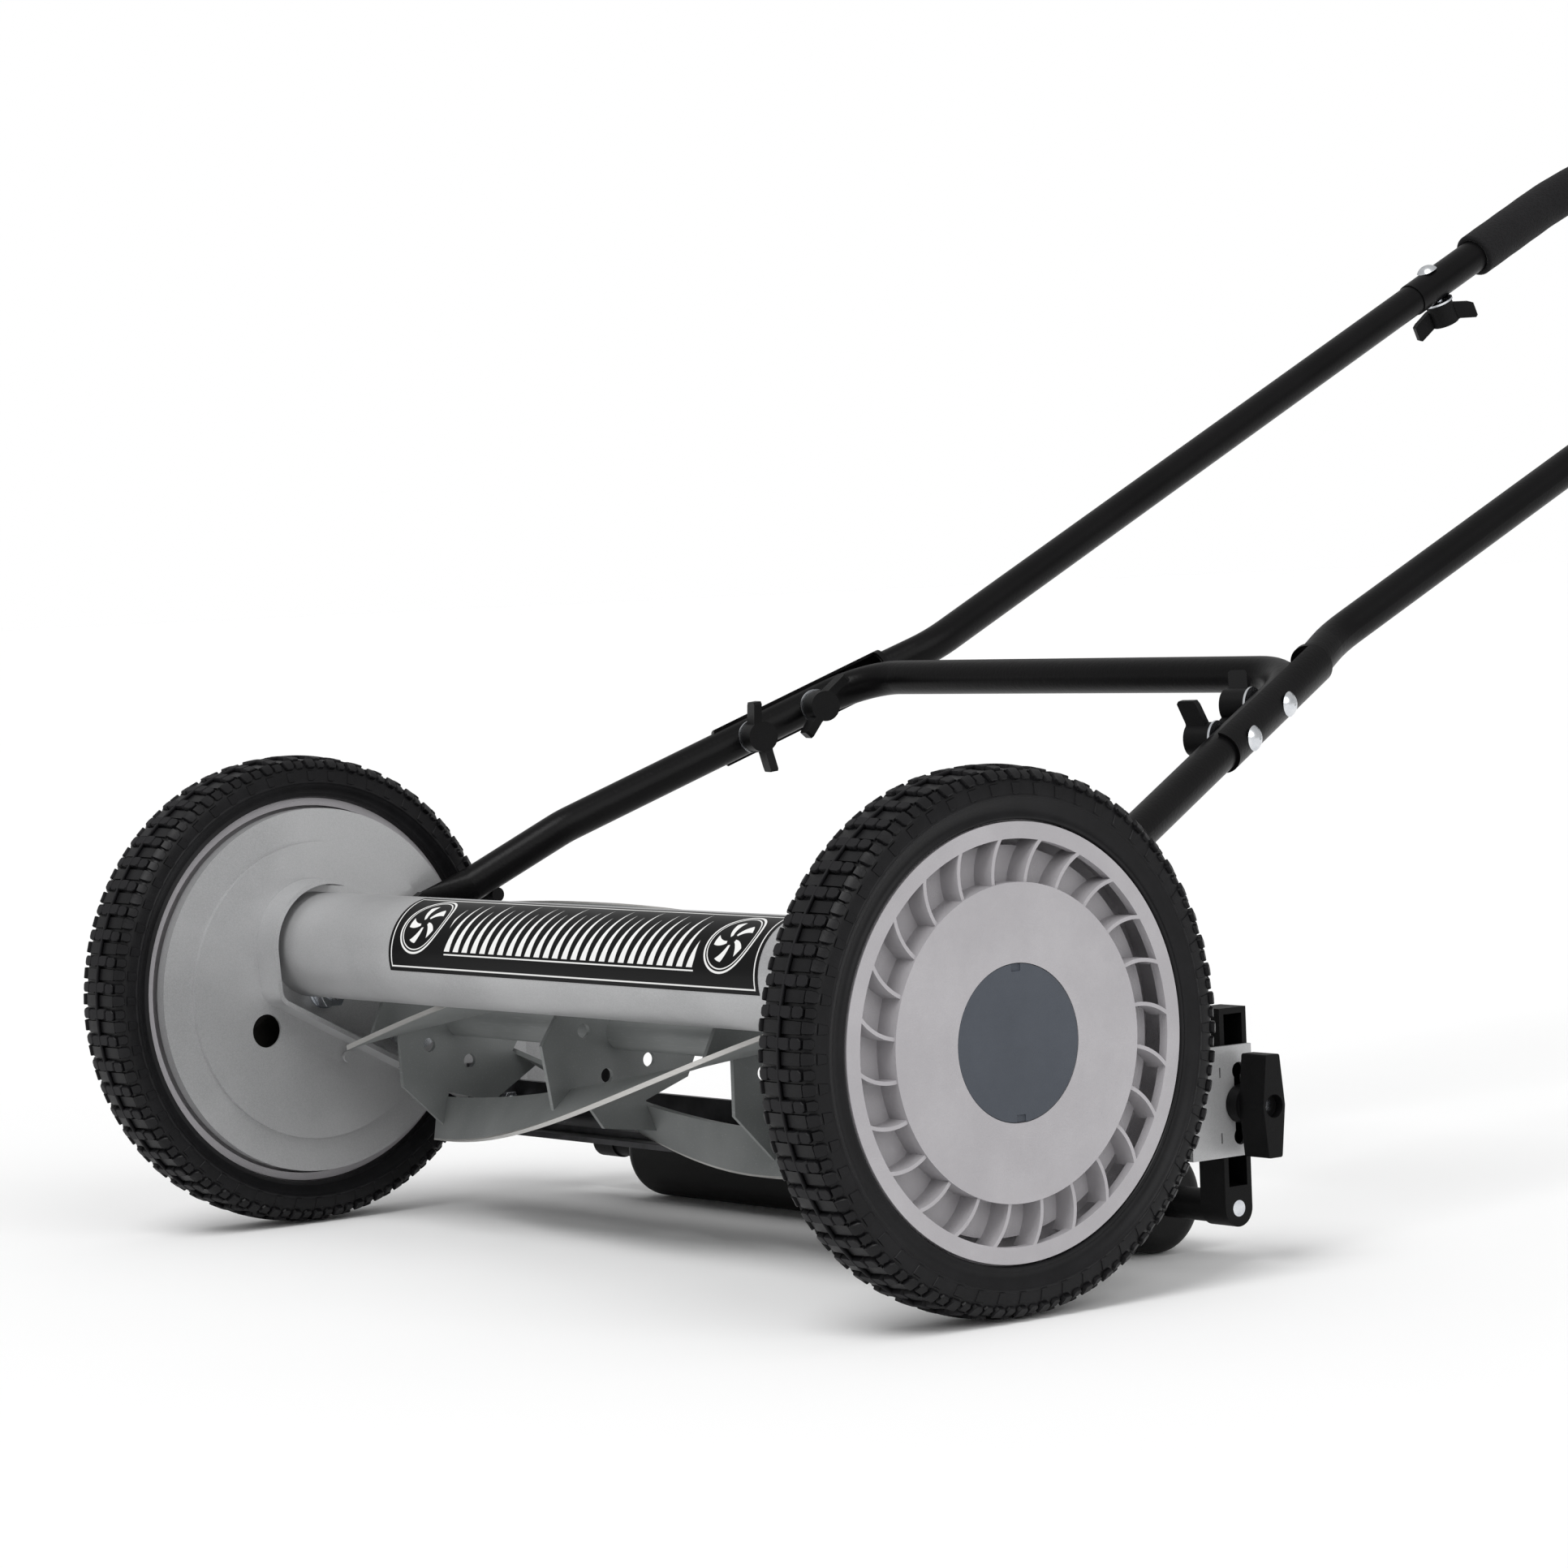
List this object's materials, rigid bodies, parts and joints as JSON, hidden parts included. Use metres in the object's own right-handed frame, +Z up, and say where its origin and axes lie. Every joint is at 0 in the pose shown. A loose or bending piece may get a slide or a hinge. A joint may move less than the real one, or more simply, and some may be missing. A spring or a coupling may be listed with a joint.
{
  "type": "reel mower",
  "caption": "Push reel mower: helical-blade reel driven by ribbed wheels, half-round front bar, rear roller with height plates, and a folding tubular handle with a foam grip.",
  "frame": {"origin": "the point of the ground below the wheel axles, midway between the two wheels", "axes": "+Z up from the ground; the mower travels towards -Y, so the handle lies towards +Y; +X is the operator's left"},
  "size_m": [0.6152, 1.1317, 0.6154],
  "materials": {
    "silver_paint": "satin metallic silver-grey paint",
    "reel_paint": "satin grey paint with bright cutting edges",
    "label": "gloss black film with a white line",
    "cutter_steel": "dark heat-treated steel",
    "zinc": "bright zinc plate",
    "gear_steel": "greased sintered steel",
    "wheel_plastic": "light grey moulded plastic",
    "cap_plastic": "dark slate moulded plastic",
    "tyre_rubber": "black rubber, satin side walls",
    "black_plastic": "black moulded plastic",
    "roller_plastic": "black moulded plastic",
    "tube_paint": "satin black powder coat",
    "foam": "closed-cell black foam"
  },
  "bodies": {
    "frame": {"front_bar": "silver_paint", "label": "label", "left_side_plate": "silver_paint", "right_side_plate": "silver_paint", "left_gear_cover": "silver_paint", "right_gear_cover": "silver_paint", "left_wheel_axle": "zinc", "right_wheel_axle": "zinc", "axle_nuts": "zinc", "axle_washers": "zinc", "axle_clips": "zinc", "left_reel_bearing": "zinc", "right_reel_bearing": "zinc", "cutter_bar": "cutter_steel", "bed_knife": "cutter_steel", "bed_knife_screws": "zinc", "cutter_bar_bolts": "zinc", "plate_rivets": "silver_paint", "pivot_bolts": "zinc", "pivot_nuts": "zinc", "handle_stops": "tube_paint"},
    "reel": {"reel_shaft": "reel_paint", "reel_spiders": "reel_paint", "pawls": "zinc", "pinion_clips": "zinc", "blade_1": "reel_paint", "blade_2": "reel_paint", "blade_3": "reel_paint", "blade_4": "reel_paint", "blade_5": "reel_paint"},
    "roller_carriage": {"left_roller_bracket": "black_plastic", "right_roller_bracket": "black_plastic", "roller_axle": "zinc", "bracket_studs": "zinc"},
    "roller": {"rear_roller": "roller_plastic"},
    "handle": {"lower_handle": "tube_paint", "left_middle_tube": "tube_paint", "right_middle_tube": "tube_paint", "upper_handle": "tube_paint", "foam_grip": "foam", "handle_bolts": "zinc", "handle_washers": "zinc"},
    "left_wheel": {"left_wheel_rim": "wheel_plastic", "left_tyre": "tyre_rubber", "left_hub_cap": "cap_plastic"},
    "right_wheel": {"right_wheel_rim": "wheel_plastic", "right_tyre": "tyre_rubber", "right_hub_cap": "cap_plastic"},
    "left_pinion": {"left_pinion": "gear_steel"},
    "right_pinion": {"right_pinion": "gear_steel"},
    "left_height_knob": {"left_height_knob": "black_plastic"},
    "right_height_knob": {"right_height_knob": "black_plastic"},
    "left_lower_wing_knob": {"left_lower_wing_knob": "black_plastic"},
    "left_middle_wing_knob": {"left_middle_wing_knob": "black_plastic"},
    "left_upper_wing_knob": {"left_upper_wing_knob": "black_plastic"},
    "right_lower_wing_knob": {"right_lower_wing_knob": "black_plastic"},
    "right_middle_wing_knob": {"right_middle_wing_knob": "black_plastic"},
    "right_upper_wing_knob": {"right_upper_wing_knob": "black_plastic"}
  },
  "joints": [
    {"name": "left_wheel_spin", "type": "hinge", "parent": "frame", "child": "left_wheel", "pos_m": [0, 0, 0.127], "axis": [1, 0, 0], "continuous": true},
    {"name": "right_wheel_spin", "type": "hinge", "parent": "frame", "child": "right_wheel", "pos_m": [0, 0, 0.127], "axis": [1, 0, 0], "continuous": true},
    {"name": "left_pinion_spin", "type": "hinge", "parent": "frame", "child": "left_pinion", "pos_m": [0, 0.05704, 0.10839], "axis": [1, 0, 0], "continuous": true},
    {"name": "right_pinion_spin", "type": "hinge", "parent": "frame", "child": "right_pinion", "pos_m": [0, 0.05704, 0.10839], "axis": [1, 0, 0], "continuous": true},
    {"name": "reel_spin", "type": "hinge", "parent": "frame", "child": "reel", "pos_m": [0, 0.05704, 0.10839], "axis": [1, 0, 0], "continuous": true},
    {"name": "height_slide", "type": "slide", "parent": "frame", "child": "roller_carriage", "axis": [0, 0, 1], "range_m": [-0.0159, 0.0159]},
    {"name": "roller_spin", "type": "hinge", "parent": "roller_carriage", "child": "roller", "pos_m": [0, 0.1821, 0.027], "axis": [1, 0, 0], "continuous": true},
    {"name": "left_height_knob_turn", "type": "hinge", "parent": "roller_carriage", "child": "left_height_knob", "pos_m": [0, 0.1821, 0.0785], "axis": [1, 0, 0], "continuous": true},
    {"name": "right_height_knob_turn", "type": "hinge", "parent": "roller_carriage", "child": "right_height_knob", "pos_m": [0, 0.1821, 0.0785], "axis": [1, 0, 0], "continuous": true},
    {"name": "handle_pivot", "type": "hinge", "parent": "frame", "child": "handle", "pos_m": [0, 0.05, 0.152], "axis": [1, 0, 0], "range_deg": [0, 60]},
    {"name": "left_lower_wing_knob_turn", "type": "hinge", "parent": "handle", "child": "left_lower_wing_knob", "pos_m": [0.19652, 0.2482, 0.2517], "axis": [0.9552, 0.2958, 0], "continuous": true},
    {"name": "left_middle_wing_knob_turn", "type": "hinge", "parent": "handle", "child": "left_middle_wing_knob", "pos_m": [0.18526, 0.28455, 0.26696], "axis": [0.9552, 0.2958, 0], "continuous": true},
    {"name": "left_upper_wing_knob_turn", "type": "hinge", "parent": "handle", "child": "left_upper_wing_knob", "pos_m": [0.17067, 0.78463, 0.50282], "axis": [0, -0.4323, 0.9018], "continuous": true},
    {"name": "right_lower_wing_knob_turn", "type": "hinge", "parent": "handle", "child": "right_lower_wing_knob", "pos_m": [-0.19652, 0.2482, 0.2517], "axis": [-0.9552, 0.2958, 0], "continuous": true},
    {"name": "right_middle_wing_knob_turn", "type": "hinge", "parent": "handle", "child": "right_middle_wing_knob", "pos_m": [-0.18526, 0.28455, 0.26696], "axis": [-0.9552, 0.2958, 0], "continuous": true},
    {"name": "right_upper_wing_knob_turn", "type": "hinge", "parent": "handle", "child": "right_upper_wing_knob", "pos_m": [-0.17067, 0.78463, 0.50282], "axis": [0, -0.4323, 0.9018], "continuous": true}
  ],
  "couplings": [
    {"joint": "left_pinion_spin", "follows": "left_wheel_spin", "ratio": 5},
    {"joint": "right_pinion_spin", "follows": "right_wheel_spin", "ratio": 5},
    {"joint": "reel_spin", "follows": "left_wheel_spin", "ratio": 5}
  ]
}
